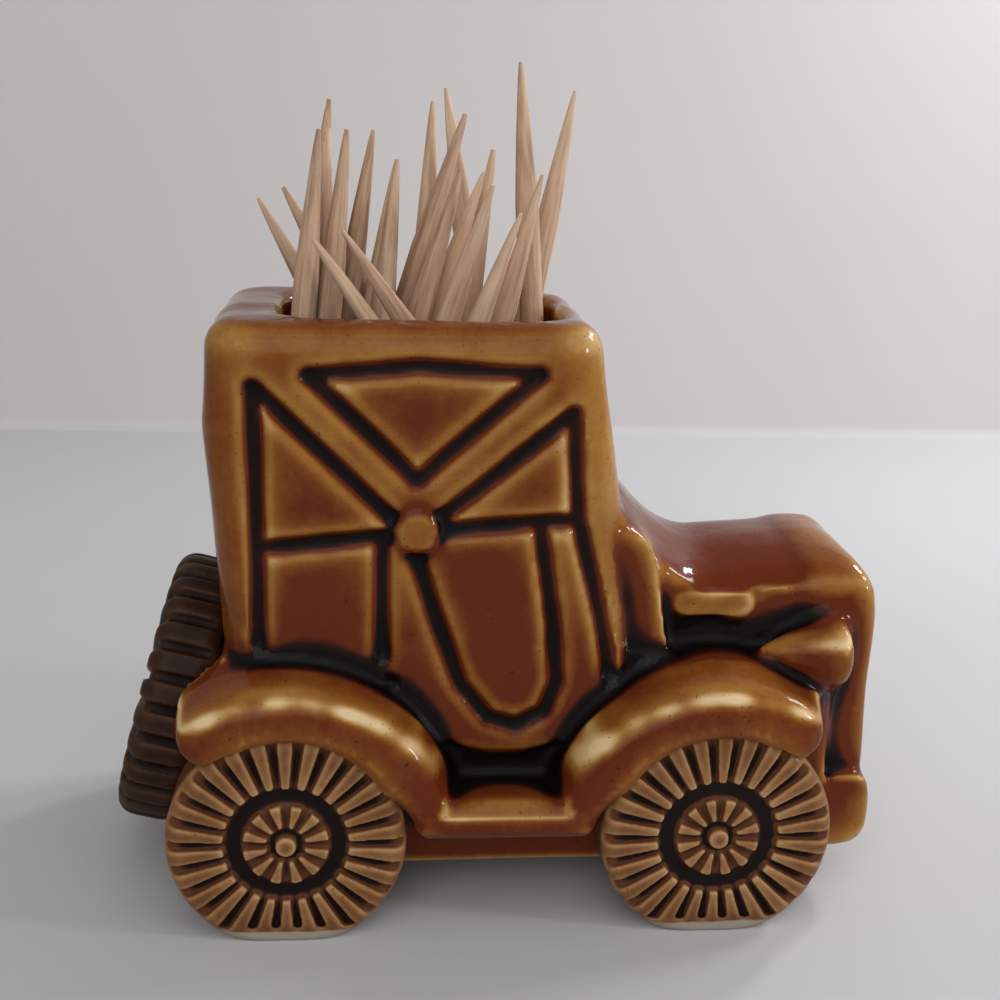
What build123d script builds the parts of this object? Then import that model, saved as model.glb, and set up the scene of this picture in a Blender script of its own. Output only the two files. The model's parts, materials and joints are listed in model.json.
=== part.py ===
from build123d import *
import math
import os

os.makedirs("parts", exist_ok=True)

# Overall sizes in mm, z = 0 at the feet of the wheels, +X towards the radiator
rim_z = 53.0
under_z = 4.0
floor_z = 7.0
wall = 2.6

# Cabin
cabin_half = 12.8
cabin_rear_low = -24.3
cabin_rear_mid = -25.9
cabin_rear_top = -25.4
cabin_front_low = 12.6
cabin_front_top = 7.4
cabin_low_z = 22.5
cabin_mid_z = 44.0
cabin_corner_r = 4.0
cabin_brow_r = 2.5
belly_x = 0.2
belly_z = 23.4
belly_rx = 9.8
belly_rz = 8.1

# Chassis, bonnet, cowl, radiator shell and bumper
chassis_half = 12.0
chassis_top_z = 24.0
chassis_front = 30.0
bonnet_half = 9.6
bonnet_top_z = 31.9
bonnet_shoulder_z = 29.3
cowl_half = 11.4
cowl_depth = 2.4
cowl_top_z = 35.0
bonnet_crown = bonnet_top_z - bonnet_shoulder_z
# Stations from cabin to radiator: x, half width, top z
scuttle_end = (19.0, bonnet_half, bonnet_top_z)
scuttle_rows = ((8.9, 10.8, 40.3), (11.7, 10.6, 36.7), (14.4, 10.2, 33.9), scuttle_end)
flare_rows = (scuttle_end, (28.0, 10.2, 32.5))
shell_back = 27.4
shell_front = 34.2
shell_half = 10.4
shell_top_z = 32.8
shell_brow_r = 5.0
shell_edge_r = 1.4
bumper_back = 29.0
bumper_front = 35.1
bumper_half = 11.6
bumper_low_z = 4.2
bumper_top_z = 12.0
bumper_r = 2.6
radiator_frame = 2.6
radiator_sunk = 0.8
radiator_lines = 7

# Mouldings on the bonnet side and the lamps
strake_x = (15.2, 22.4)
strake_z = 28.2
strake_h = 2.4
strake_out = 0.8
lamp_y = 11.6
lamp_z = 24.2
lamp_tail = 22.8
lamp_face = 31.2
lamp_r = 3.4
lamp_tail_r = 0.6

# Wings and running boards
wheel_base = 37.5
hub_z = 9.1
wing_half = 18.5
wing_in_r = 10.9
wing_edge_r = 14.2
wing_crown_r = 15.6
wing_end_deg = 40.0
board_low_z = 9.4
board_top_z = 12.8

# Road wheels, with gaps that widen outwards between ribs and between petals
wheel_r = 10.3
wing_over = 0.9
wheel_t = wing_half - chassis_half - wing_over
tyre_round = 1.3
rib_count = 26
rib_gap = (0.55, 1.0)
rib_depth = 0.7
rib_r = (5.0, 10.4)
well_r = (3.7, 5.3)
well_depth = 0.8
petal_count = 12
petal_gap = (0.4, 1.1)
petal_depth = 0.6
button_r = 0.9
button_out = 0.35
button_gap = 0.7
foot_band = 1.2

# Spare wheel, leaning with its top towards the cabin
spare_x = -29.5
spare_z = 16.5
spare_r = 12.5
spare_t = 6.0
spare_lean_deg = 14.3
spare_lugs = 28
spare_gap = 0.9
spare_depth = 0.6
spare_room = 0.5

# Scored lines on the cabin
groove_w = 1.6
groove_depth = 0.75
boss_r = 1.5
boss_out = 0.5
boss_at = (-7.8, 35.5)
screen_z = (42.4, 49.6)
screen_half = 7.6
rear_light_z = (32.6, 42.4)
rear_light_half = 7.4
pane_r = 2.2

# Mouth and hollow
mouth_x = (-19.4, 4.8)
mouth_half = 8.2
mouth_r = 3.5
neck_z = 46.5
nose_front = 28.6
nose_top_z = 28.8
nose_r = 0.8

# Toothpicks
pick_max_len = 67.0
pick_d = 2.1
pick_point_len = 12.0
pick_point_d = 0.5
pick_gap = 0.3
pick_lift = 0.25
pick_travel = 50.0
settle_turns = 4000
settle_pull = 0.04

# Clear part of the mouth, kept free for fingers and for the next pick
clear_x = 0.3
clear_y = -1.6

# Each pick as it crosses the rim: x, y, lean to the front, lean to the left side, length
pick_rows = (
    (-16.6, 6.8, -30, -1, 62),
    (-13.4, 6.8, -28, -1, 63),
    (-15.0, 4.3, -30, -4, 62),
    (-17.8, 3.6, 5, 12, 64),
    (-14.6, 1.8, 6, 8, 61),
    (-17.6, -0.6, 5, 6, 60),
    (-16.8, -4.2, 5, 2, 61),
    (-12.4, 3.4, 8, 16, 60),
    (-13.8, -3.4, 8, 2, 61),
    (-10.2, 0.4, 9, 9, 59),
    (-13.2, -1.2, 8, -11, 62),
    (-11.2, -6.8, -34, 0, 63),
    (-8.4, -6.8, -35, 0, 64),
    (-8.4, 4.4, 2, 14, 65),
    (-3.6, 5.6, -10, 9, 66),
    (-8.2, 1.0, 15, 3, 65),
    (-8.2, -1.8, 14, -9, 61),
    (-7.8, -4.4, 15, -8, 60),
    (-5.0, -4.6, 17, -15, 60),
    (-2.4, -6.4, 17, -14, 58),
    (1.6, 2.7, -7, 1, 67),
    (3.2, 5.2, 12, 3, 66),
    (1.4, 0.0, 17, -2, 59),
    (-4.8, 2.2, 7, -3, 60),
)

hollow_half = cabin_half - wall
low_half = chassis_half - wall
nose_half = bonnet_half - wall
spare_lean = math.radians(spare_lean_deg)
spare_axis = Vector(math.cos(spare_lean), 0, -math.sin(spare_lean))
pad = Vector(spare_x, 0, spare_z) + spare_axis * (spare_t / 2)


def boot_x(z):
    """X of the sloping boot face that the spare wheel sits against."""
    return pad.X + math.tan(spare_lean) * (z - pad.Z)


def cabin_front(z):
    """X of the cabin's leaning front at height z."""
    share = (z - cabin_low_z) / (rim_z - cabin_low_z)
    return cabin_front_low + share * (cabin_front_top - cabin_front_low)


def wedge(reach, gaps):
    """Corners of a gap that runs outwards between two radii and widens from the first gap to the second."""
    return (
        (reach[0], -gaps[0] / 2),
        (reach[1], -gaps[1] / 2),
        (reach[1], gaps[1] / 2),
        (reach[0], gaps[0] / 2),
    )


def slot_between(start, end, width):
    """Draw one straight round-ended slot between two points of the open sketch."""
    run = Vector(*end) - Vector(*start)
    middle = (Vector(*start) + Vector(*end)) * 0.5
    with Locations((middle.X, middle.Y)):
        SlotCenterToCenter(run.length, width, rotation=math.degrees(math.atan2(run.Y, run.X)))


def settle(rows):
    """Move the picks apart until none of them touches another, the rim or the wall.

    A pick is held by the points where its axis meets the floor and the rim.
    """
    low = floor_z + pick_lift
    height = rim_z - low
    reach = low + pick_max_len + pick_travel
    radius = pick_d / 2
    picks = []
    for x, y, lean_x, lean_y, _ in rows:
        run_x = height * math.tan(math.radians(lean_x))
        run_y = height * math.tan(math.radians(lean_y))
        picks.append([x - run_x, y - run_y, x, y])

    def at(pick, z):
        share = (z - low) / height
        return [pick[0] + share * (pick[2] - pick[0]), pick[1] + share * (pick[3] - pick[1])]

    def push(pick, z, dx, dy):
        share = (z - low) / height
        size = (1 - share) ** 2 + share ** 2
        pick[0] += (1 - share) / size * dx
        pick[1] += (1 - share) / size * dy
        pick[2] += share / size * dx
        pick[3] += share / size * dy

    def width(z):
        point = (pick_d - pick_point_d) / pick_point_len
        return min(pick_d, pick_point_d + point * max(0.0, z - low))

    def stretch(pick):
        return math.sqrt(height ** 2 + (pick[2] - pick[0]) ** 2 + (pick[3] - pick[1]) ** 2) / height

    def keep_in(pick):
        grow = stretch(pick)
        edge = (radius + pick_gap) * grow
        for z in (rim_z + 1, neck_z):
            x, y = at(pick, z)
            far = mouth_x[1] - edge
            if y < clear_y + edge and z < rim_z + 2:
                far = min(far, clear_x - edge)
            new_x = min(max(x, mouth_x[0] + edge), far)
            new_y = min(max(y, edge - mouth_half), mouth_half - edge)
            push(pick, z, new_x - x, new_y - y)
        for z in (43.0, 36.0, nose_top_z, 25.0, 19.0, 13.0, low):
            x, y = at(pick, z)
            edge = (width(z) / 2 + pick_gap) * grow
            rear = (cabin_rear_low if z > cabin_low_z else boot_x(z)) + wall + edge
            front = nose_front - edge
            if z > nose_top_z - 3:
                front = cabin_front(z) - wall - edge
            side = (hollow_half if z > chassis_top_z + 2 else low_half) - edge
            if x > cabin_front(max(z, cabin_low_z)) - wall - edge:
                side = nose_half - edge
            new_x = min(max(x, rear), front)
            new_y = min(max(y, -side), side)
            push(pick, z, new_x - x, new_y - y)

    wanted = [list(pick) for pick in picks]
    for turn in range(settle_turns):
        moved = 0.0
        pull = settle_pull * max(0.0, 1 - turn / (0.6 * settle_turns))
        for pick, want in zip(picks, wanted):
            for k in range(4):
                pick[k] += pull * (want[k] - pick[k])
        for i, one in enumerate(picks):
            for two in picks[:i]:
                base = [two[0] - one[0], two[1] - one[1]]
                rate = [(two[k + 2] - one[k + 2] - base[k]) / height for k in (0, 1)]
                speed = rate[0] ** 2 + rate[1] ** 2
                best = 0.0
                if speed > 0:
                    best = -(base[0] * rate[0] + base[1] * rate[1]) / speed
                near = min(max(best, 0.0), reach - low)
                for z in (low, low + pick_point_len, low + near):
                    a = at(one, z)
                    b = at(two, z)
                    gap_x = b[0] - a[0]
                    gap_y = b[1] - a[1]
                    apart = math.hypot(gap_x, gap_y)
                    need = (width(z) + pick_gap) * max(stretch(one), stretch(two))
                    if apart < need:
                        short = (need - apart) * 0.8 + 0.002
                        unit_x = gap_x / apart if apart > 1e-6 else 1.0
                        unit_y = gap_y / apart if apart > 1e-6 else 0.0
                        push(one, z, -unit_x * short / 2, -unit_y * short / 2)
                        push(two, z, unit_x * short / 2, unit_y * short / 2)
                        moved = max(moved, need - apart)
        for pick in picks:
            keep_in(pick)
        if moved < 0.02 and pull == 0:
            break
    return [(Vector(p[0], p[1], low), Vector(p[2] - p[0], p[3] - p[1], height).normalized())
            for p in picks]


# Cast body: cabin, bonnet, wings and running boards over one hollow
with BuildPart() as body:
    with BuildSketch(Plane.XZ):
        with BuildLine():
            Polyline(
                (cabin_rear_low, cabin_low_z),
                (cabin_rear_mid, cabin_mid_z),
                (cabin_rear_top, rim_z),
                (cabin_front_top, rim_z),
                (cabin_front_low, cabin_low_z),
                close=True,
            )
        make_face()
    extrude(amount=cabin_half, both=True)
    posts = body.edges().filter_by(lambda e: abs(e.tangent_at(0.5).Z) > 0.8)
    fillet(posts, cabin_corner_r)
    brow = body.edges().group_by(Axis.Z)[-1]
    fillet(brow, cabin_brow_r)
    # Rounded belly of the cabin side, down to the running board
    with BuildSketch(Plane.XZ):
        with Locations((belly_x, belly_z)):
            Ellipse(belly_rx, belly_rz)
    extrude(amount=cabin_half, both=True)
    # Chassis tub with the sloping boot
    with BuildSketch(Plane.XZ):
        with BuildLine():
            Polyline(
                (boot_x(under_z), under_z),
                (boot_x(chassis_top_z), chassis_top_z),
                (chassis_front, chassis_top_z),
                (chassis_front, under_z),
                close=True,
            )
        make_face()
    extrude(amount=chassis_half, both=True)
    # Bonnet barrel
    with BuildSketch(Plane.YZ.offset(cabin_front_top)):
        with BuildLine():
            Polyline(
                (bonnet_half, bonnet_shoulder_z),
                (bonnet_half, under_z + 4),
                (-bonnet_half, under_z + 4),
                (-bonnet_half, bonnet_shoulder_z),
            )
            ThreePointArc(
                (-bonnet_half, bonnet_shoulder_z),
                (0, bonnet_top_z),
                (bonnet_half, bonnet_shoulder_z),
            )
        make_face()
    extrude(amount=shell_back + 1 - cabin_front_top)
    # Cowl band and its hollow sweep up to the cabin
    with BuildSketch(Plane.XZ):
        with BuildLine():
            Polyline(
                (cabin_front(chassis_top_z) - 2, chassis_top_z),
                (cabin_front(cowl_top_z) - 2, cowl_top_z),
                (cabin_front(cowl_top_z) + cowl_depth - 1, cowl_top_z),
                (cabin_front(cowl_top_z) + cowl_depth, cowl_top_z - 1),
                (cabin_front(chassis_top_z) + cowl_depth, chassis_top_z),
                close=True,
            )
        make_face()
    extrude(amount=cowl_half, both=True)
    for rows in (scuttle_rows, flare_rows):
        for x, half, top in rows:
            with BuildSketch(Plane.YZ.offset(x)):
                with BuildLine():
                    Polyline(
                        (half, top - bonnet_crown),
                        (half, chassis_top_z - 2),
                        (-half, chassis_top_z - 2),
                        (-half, top - bonnet_crown),
                    )
                    ThreePointArc((-half, top - bonnet_crown), (0, top), (half, top - bonnet_crown))
                make_face()
        loft()
    # Radiator shell and bumper
    with BuildSketch(Plane.YZ.offset(shell_back)):
        with BuildLine():
            shell_side = shell_top_z - bonnet_crown
            Polyline(
                (shell_half, shell_side),
                (shell_half, under_z),
                (-shell_half, under_z),
                (-shell_half, shell_side),
            )
            ThreePointArc((-shell_half, shell_side), (0, shell_top_z), (shell_half, shell_side))
        make_face()
    extrude(amount=shell_front - shell_back)
    # Rounded brow of the shell
    with BuildSketch(Plane.XZ):
        brow_mid = (shell_front - shell_brow_r, shell_top_z - shell_brow_r)
        with Locations(brow_mid):
            Rectangle(2 * shell_brow_r, 2 * shell_brow_r, align=(Align.MIN, Align.MIN))
            Circle(shell_brow_r, mode=Mode.SUBTRACT)
    extrude(amount=cowl_half + 1, both=True, mode=Mode.SUBTRACT)
    shell_rim = body.faces().sort_by(Axis.X)[-1].edges().filter_by(Axis.Z)
    fillet(shell_rim, shell_edge_r)
    with BuildSketch(Plane.XZ):
        with Locations(((bumper_back + bumper_front) / 2, (bumper_low_z + bumper_top_z) / 2)):
            RectangleRounded(bumper_front - bumper_back, bumper_top_z - bumper_low_z, bumper_r)
    extrude(amount=bumper_half, both=True)
    for side in (-1, 1):
        # Strake on the bonnet side
        with BuildSketch(Plane.XZ.offset(-side * (bonnet_half + strake_out))):
            with Locations(((strake_x[0] + strake_x[1]) / 2, strake_z)):
                SlotOverall(strake_x[1] - strake_x[0], strake_h)
        extrude(amount=side * 3)
        # Lamp
        with BuildSketch(Plane.XY.offset(lamp_z)):
            with BuildLine():
                lamp_back = (lamp_tail, side * (lamp_y + lamp_tail_r))
                lamp_wide = (lamp_face - 1.2, side * (lamp_y + lamp_r))
                lamp_lip = (lamp_face - 0.5, side * (lamp_y + lamp_r - 0.4))
                lamp_eye = (lamp_face, side * lamp_y)
                lamp_mid = (lamp_tail + 4.0, side * (lamp_y + lamp_tail_r + 0.54 * lamp_r))
                ThreePointArc(lamp_back, lamp_mid, lamp_wide)
                Line(lamp_wide, lamp_lip)
                Line(lamp_lip, (lamp_face, side * (lamp_y + lamp_r - 1.6)))
                Line((lamp_face, side * (lamp_y + lamp_r - 1.6)), lamp_eye)
                Line(lamp_eye, (lamp_tail, side * lamp_y))
                Line((lamp_tail, side * lamp_y), lamp_back)
            make_face()
        revolve(axis=Axis((0, side * lamp_y, lamp_z), (1, 0, 0)))
        # Wings
        for end in (-1, 1):
            hub = (end * wheel_base / 2, 0, hub_z)
            tip = math.radians(90 - end * wing_end_deg)
            spoke = Vector(math.cos(tip), 0, math.sin(tip))
            section = Plane(origin=hub, x_dir=(0, side, 0), z_dir=spoke.cross(Vector(0, side, 0)))
            flip = 1 if section.y_dir.dot(spoke) > 0 else -1
            with BuildSketch(section):
                with BuildLine():
                    Polyline(
                        (chassis_half - 1.5, flip * wing_in_r),
                        (wing_half - 1.0, flip * wing_in_r),
                        (wing_half, flip * (wing_in_r + 1.0)),
                        (wing_half, flip * (wing_edge_r - 1.2)),
                        (wing_half - 1.3, flip * wing_edge_r),
                        (chassis_half - 1.5, flip * wing_crown_r),
                        close=True,
                    )
                make_face()
            revolve(axis=Axis(hub, (0, -end, 0)), revolution_arc=wing_end_deg + 85)
            cap = Vector(*hub) + spoke * ((wing_in_r + wing_edge_r) / 2)
            with BuildSketch(Plane.XZ.offset(-side * (chassis_half - 1.5))):
                with Locations((cap.X, cap.Z)):
                    Circle((wing_edge_r - wing_in_r) / 2)
            extrude(amount=-side * (wing_half - chassis_half + 0.9))
        # Running board
        with BuildSketch(Plane.YZ.offset(-wheel_base / 2 + wing_in_r + 0.8)):
            with BuildLine():
                Polyline(
                    (side * (chassis_half - 1.5), board_low_z),
                    (side * (wing_half - 1.0), board_low_z),
                    (side * wing_half, board_low_z + 1.0),
                    (side * wing_half, board_top_z - 1.2),
                    (side * (wing_half - 1.3), board_top_z),
                    (side * (chassis_half - 1.5), board_top_z),
                    close=True,
                )
            make_face()
        extrude(amount=wheel_base - 2 * wing_in_r - 1.6)
        # Boss where the panes meet
        with BuildSketch(Plane.XZ.offset(-side * cabin_half)):
            with Locations(boss_at):
                Circle(boss_r)
        extrude(amount=-side * boss_out)
    # Room behind the boot for the spare wheel
    with BuildSketch(Plane(origin=pad, x_dir=(0, 1, 0), z_dir=-spare_axis)):
        Circle(spare_r + spare_room)
    extrude(amount=2 * spare_t, mode=Mode.SUBTRACT)
    # Scored lines
    for side in (-1, 1):
        with BuildSketch(Plane.XZ.offset(-side * (cabin_half - groove_depth))):
            slot_between((-21.4, 47.7), (-21.1, 33.7), groove_w)
            slot_between((-21.1, 33.7), (-21.2, 25.8), groove_w)
            slot_between((-21.2, 47.6), (-10.0, 36.7), groove_w)
            slot_between((-21.0, 34.0), (-10.4, 35.1), groove_w)
            slot_between((-10.8, 34.6), (-10.7, 24.6), groove_w)
            slot_between((-16.8, 48.7), (-7.9, 49.6), groove_w)
            slot_between((-7.9, 49.6), (2.1, 49.0), groove_w)
            slot_between((2.1, 49.0), (-7.9, 40.0), groove_w)
            slot_between((-7.9, 40.0), (-16.8, 48.7), groove_w)
            slot_between((-5.9, 36.7), (5.1, 45.8), groove_w)
            slot_between((5.1, 45.8), (5.8, 36.6), groove_w)
            slot_between((5.8, 36.6), (8.3, 27.4), groove_w)
            slot_between((8.3, 27.4), (9.2, 22.6), groove_w)
            slot_between((-5.9, 35.7), (5.8, 36.6), groove_w)
            slot_between((-7.9, 33.4), (-6.3, 28.4), groove_w)
            slot_between((-6.3, 28.4), (-3.9, 21.8), groove_w)
            slot_between((-3.9, 21.8), (-1.4, 18.6), groove_w)
            slot_between((-1.4, 18.6), (1.1, 17.8), groove_w)
            slot_between((1.1, 17.8), (3.5, 19.2), groove_w)
            slot_between((3.5, 19.2), (4.5, 21.9), groove_w)
            slot_between((4.5, 21.9), (4.0, 27.4), groove_w)
            slot_between((4.0, 27.4), (2.7, 35.4), groove_w)
        extrude(amount=-side * (groove_depth + boss_out + 1), mode=Mode.SUBTRACT)
    screen_lean = math.atan2(cabin_front_low - cabin_front_top, rim_z - cabin_low_z)
    light_lean = math.atan2(cabin_rear_mid - cabin_rear_low, cabin_mid_z - cabin_low_z)
    screen_mid = (screen_z[0] + screen_z[1]) / 2
    light_mid = (rear_light_z[0] + rear_light_z[1]) / 2
    light_x = cabin_rear_low - math.tan(-light_lean) * (light_mid - cabin_low_z)
    screen = Plane((cabin_front(screen_mid), 0, screen_mid), (0, 1, 0),
                   (math.cos(screen_lean), 0, math.sin(screen_lean)))
    light = Plane((light_x, 0, light_mid), (0, -1, 0), (-math.cos(light_lean), 0, math.sin(light_lean)))
    for pane, half, heights in ((screen, screen_half, screen_z), (light, rear_light_half, rear_light_z)):
        tall = heights[1] - heights[0]
        with BuildSketch(pane.offset(-groove_depth)):
            RectangleRounded(2 * half, tall, pane_r)
            inner = (2 * (half - groove_w), tall - 2 * groove_w)
            RectangleRounded(*inner, pane_r - groove_w / 2, mode=Mode.SUBTRACT)
            Rectangle(groove_w, tall - groove_w)
        extrude(amount=groove_depth + 1, mode=Mode.SUBTRACT)
    # Sunken radiator front with upright lines
    core_half = shell_half - radiator_frame
    core_low = bumper_top_z + 1
    core_tall = shell_top_z - radiator_frame - core_low
    with BuildSketch(Plane.YZ.offset(shell_front - radiator_sunk)):
        with Locations((0, core_low + core_tall / 2)):
            RectangleRounded(2 * core_half, core_tall, pane_r)
    extrude(amount=radiator_sunk + 1, mode=Mode.SUBTRACT)
    with BuildSketch(Plane.YZ.offset(shell_front - radiator_sunk - groove_depth)):
        with Locations((0, core_low + core_tall / 2)):
            with GridLocations(2 * core_half / (radiator_lines + 1), 1, radiator_lines, 1):
                SlotOverall(core_tall - 2 * groove_w, groove_w, rotation=90)
    extrude(amount=groove_depth + radiator_sunk + 1, mode=Mode.SUBTRACT)
    # Hollow inside cabin, boot and nose, then the mouth
    with BuildSketch(Plane.XZ):
        with BuildLine():
            Polyline(
                (cabin_rear_low + wall, cabin_low_z),
                (cabin_rear_mid + wall + 0.2, cabin_mid_z),
                (mouth_x[0] - 1, neck_z + 1.5),
                (mouth_x[1] + 0.6, neck_z + 1.5),
                (cabin_front(neck_z) - wall, neck_z),
                (cabin_front_low - wall, cabin_low_z),
                close=True,
            )
        make_face()
    extrude(amount=hollow_half, both=True, mode=Mode.SUBTRACT)
    with BuildSketch(Plane.XZ):
        with BuildLine():
            Polyline(
                (cabin_rear_low + wall, cabin_low_z + 3),
                (boot_x(cabin_low_z) + wall, cabin_low_z),
                (boot_x(floor_z) + wall, floor_z),
                (cabin_front_low - wall, floor_z),
                (cabin_front_low - wall, cabin_low_z + 3),
                close=True,
            )
        make_face()
    extrude(amount=low_half, both=True, mode=Mode.SUBTRACT)
    with BuildSketch(Plane.YZ.offset(cabin_front_low - wall - 1)):
        with Locations((0, (floor_z + nose_top_z) / 2)):
            RectangleRounded(2 * nose_half, nose_top_z - floor_z, nose_r)
    extrude(amount=nose_front - cabin_front_low + wall + 1, mode=Mode.SUBTRACT)
    with BuildSketch(Plane.XY.offset(neck_z - 1)):
        with Locations(((mouth_x[0] + mouth_x[1]) / 2, 0)):
            RectangleRounded(mouth_x[1] - mouth_x[0], 2 * mouth_half, mouth_r)
    extrude(amount=rim_z - neck_z + 3, mode=Mode.SUBTRACT)
    mouth_rim = body.faces().sort_by(Axis.Z)[-1].inner_wires()[0].edges()
    fillet(mouth_rim, 1.0)
body.part.label = "body"
export_step(body.part, "parts/body.step")

# Road wheels, each pressed flat against the chassis side and cut flat at the foot
wheel_names = ("wheel_rear_right", "wheel_front_right", "wheel_rear_left", "wheel_front_left")
wheel_spots = ((-1, -1), (1, -1), (-1, 1), (1, 1))
petal_r = (button_r + button_gap / 2, (well_r[0] + well_r[1]) / 2)
for name, (end, side) in zip(wheel_names, wheel_spots):
    hub = (end * wheel_base / 2, side * chassis_half, hub_z)
    back = Plane(origin=hub, x_dir=(1, 0, 0), z_dir=(0, side, 0))
    face = back.offset(wheel_t)
    with BuildPart() as wheel:
        with BuildSketch(back):
            Circle(wheel_r)
        extrude(amount=wheel_t)
        fillet(wheel.edges().group_by(Axis.Y)[-1 if side > 0 else 0], tyre_round)
        with BuildSketch(face.offset(-rib_depth)):
            with PolarLocations(0, rib_count):
                Polygon(*wedge(rib_r, rib_gap), align=None)
            with Locations((0, foot_band - hub_z)):
                Rectangle(2 * wheel_r, 2 * wheel_r, align=(Align.CENTER, Align.MAX), mode=Mode.SUBTRACT)
        extrude(amount=rib_depth + 1, mode=Mode.SUBTRACT)
        with BuildSketch(face.offset(-well_depth)):
            Circle(well_r[1])
            Circle(well_r[0], mode=Mode.SUBTRACT)
        extrude(amount=well_depth + 1, mode=Mode.SUBTRACT)
        with BuildSketch(face.offset(-petal_depth)):
            with PolarLocations(0, petal_count):
                Polygon(*wedge(petal_r, petal_gap), align=None)
            Circle(button_r + button_gap)
            Circle(button_r, mode=Mode.SUBTRACT)
        extrude(amount=petal_depth + 1, mode=Mode.SUBTRACT)
        with BuildSketch(face.offset(-petal_depth - 0.2)):
            Circle(button_r)
        extrude(amount=petal_depth + 0.2 + button_out)
        split(bisect_by=Plane.XY, keep=Keep.TOP)
    wheel.part.label = name
    export_step(wheel.part, "parts/" + name + ".step")

# Spare wheel, luted flat against the boot
with BuildPart() as spare:
    seat = Plane(origin=pad, x_dir=(0, 1, 0), z_dir=-spare_axis)
    with BuildSketch(seat):
        Circle(spare_r)
    extrude(amount=spare_t)
    fillet(spare.edges().filter_by(GeomType.CIRCLE), 1.8)
    with BuildSketch(seat):
        with PolarLocations(spare_r, spare_lugs):
            Rectangle(2 * spare_depth, spare_gap)
    extrude(amount=spare_t, mode=Mode.SUBTRACT)
    grow = spare_r / wheel_r
    rib_ends = (grow * rib_r[0], spare_r - spare_depth / 2)
    with BuildSketch(seat.offset(spare_t - rib_depth)):
        with PolarLocations(0, spare_lugs):
            Polygon(*wedge(rib_ends, (rib_gap[0], spare_gap * 1.1)), align=None)
    extrude(amount=rib_depth + 1, mode=Mode.SUBTRACT)
    with BuildSketch(seat.offset(spare_t - well_depth)):
        Circle(grow * well_r[1])
        Circle(grow * well_r[0], mode=Mode.SUBTRACT)
    extrude(amount=well_depth + 1, mode=Mode.SUBTRACT)
    with BuildSketch(seat.offset(spare_t - petal_depth)):
        with PolarLocations(0, petal_count):
            Polygon(*wedge([grow * r for r in petal_r], [grow * gap for gap in petal_gap]), align=None)
        Circle(grow * (button_r + button_gap))
        Circle(grow * button_r, mode=Mode.SUBTRACT)
    extrude(amount=petal_depth + 1, mode=Mode.SUBTRACT)
spare.part.label = "spare_wheel"
export_step(spare.part, "parts/spare_wheel.step")

# Toothpicks, pointed at both ends
for number, (row, (foot, along)) in enumerate(zip(pick_rows, settle(pick_rows)), start=1):
    name = "toothpick_" + str(number).zfill(2)
    pick_len = row[4]
    stand = Plane(origin=foot, x_dir=along.cross(Vector(0, 1, 0)), z_dir=along)
    with BuildPart() as pick:
        with BuildSketch(Plane(origin=foot, x_dir=stand.x_dir, z_dir=stand.y_dir)):
            with BuildLine():
                Polyline(
                    (0, 0),
                    (pick_point_d / 2, 0),
                    (pick_d / 2, -pick_point_len),
                    (pick_d / 2, pick_point_len - pick_len),
                    (pick_point_d / 2, -pick_len),
                    (0, -pick_len),
                    close=True,
                )
            make_face()
        revolve(axis=Axis(foot, along))
    pick.part.label = name
    export_step(pick.part, "parts/" + name + ".step")
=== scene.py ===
import json
import logging
import math
from dataclasses import dataclass
from enum import Enum
from typing import Any, Callable, Dict, Optional, Sequence, Tuple, Union

import bpy
import numpy as np
from mathutils import Matrix, Vector


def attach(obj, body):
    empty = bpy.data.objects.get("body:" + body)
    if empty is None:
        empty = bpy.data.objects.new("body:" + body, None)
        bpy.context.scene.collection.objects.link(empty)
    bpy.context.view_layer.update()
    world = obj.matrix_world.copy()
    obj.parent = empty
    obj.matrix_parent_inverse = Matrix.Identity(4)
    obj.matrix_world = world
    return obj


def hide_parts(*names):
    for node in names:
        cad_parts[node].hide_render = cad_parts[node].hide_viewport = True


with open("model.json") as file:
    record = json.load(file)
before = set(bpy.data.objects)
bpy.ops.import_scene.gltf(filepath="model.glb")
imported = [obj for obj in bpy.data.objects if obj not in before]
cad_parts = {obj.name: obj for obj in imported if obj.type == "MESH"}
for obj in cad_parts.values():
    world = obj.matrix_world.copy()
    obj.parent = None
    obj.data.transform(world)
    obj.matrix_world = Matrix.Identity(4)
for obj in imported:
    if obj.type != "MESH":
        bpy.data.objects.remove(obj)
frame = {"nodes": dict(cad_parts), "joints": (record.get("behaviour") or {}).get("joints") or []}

log = logging.getLogger("toothpick_holder")

MM = 0.001
SHARP = 1e-6
HOLDER = "holder"
PICKS = 24
IMAGE_SIDE = 1000

# Sockets of a Mix node that mixes colours.
MIX_SHARE = 0
MIX_FIRST = 6
MIX_SECOND = 7
MIX_COLOUR = 2

Colour = Tuple[float, float, float, float]
Number = Union[int, float]


def tone(red: int, green: int, blue: int) -> Colour:
    """Turn a screen colour into the linear colour a shader takes.

    Args:
        red: Red, 0 to 255.
        green: Green, 0 to 255.
        blue: Blue, 0 to 255.

    Returns:
        The same colour as four linear numbers.
    """
    linear = []
    for part in (red, green, blue):
        share = part / 255
        linear.append(share / 12.92 if share <= 0.04045 else ((share + 0.055) / 1.055) ** 2.4)
    return (linear[0], linear[1], linear[2], 1.0)


def bell(values: np.ndarray, middle: float, width: float) -> np.ndarray:
    """Make a bell curve of height 1.

    Args:
        values: Where to read the curve.
        middle: Where its top is.
        width: How wide it is.

    Returns:
        The curve at each value.
    """
    return np.exp(-(((values - middle) / width) ** 2))


class Sheen(Enum):
    """How wet a glazed surface looks."""

    WET = 0.07
    SATIN = 0.26
    DULL = 0.42


class Relief(Enum):
    """Relief fields that a glazed mesh keeps at its points."""

    LIP = "lip"
    EDGE = "edge"
    POOL = "pool"


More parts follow.
